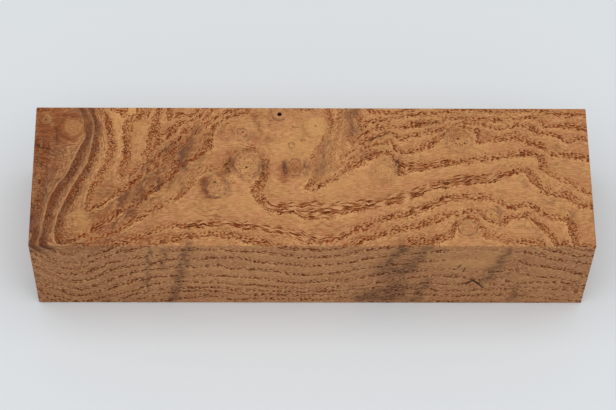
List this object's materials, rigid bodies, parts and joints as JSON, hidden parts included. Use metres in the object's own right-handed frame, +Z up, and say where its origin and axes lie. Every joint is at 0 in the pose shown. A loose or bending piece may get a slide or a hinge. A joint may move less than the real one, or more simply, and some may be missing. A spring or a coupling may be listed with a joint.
{
  "type": "stabilized burl blank",
  "caption": "Rectangular block of stabilized burl wood with squared, sanded faces and swirling ring figure, the raw stock for a knife handle or a turned small part.",
  "frame": {"origin": "middle of the underside, where the blank rests", "axes": "+X along the length, +Y from the checked front face to the back face, +Z up through the top face"},
  "size_m": [0.14, 0.04, 0.031],
  "materials": {
    "burl_wood": "satin"
  },
  "bodies": {
    "root": {"burl_blank": "burl_wood"}
  },
  "joints": []
}
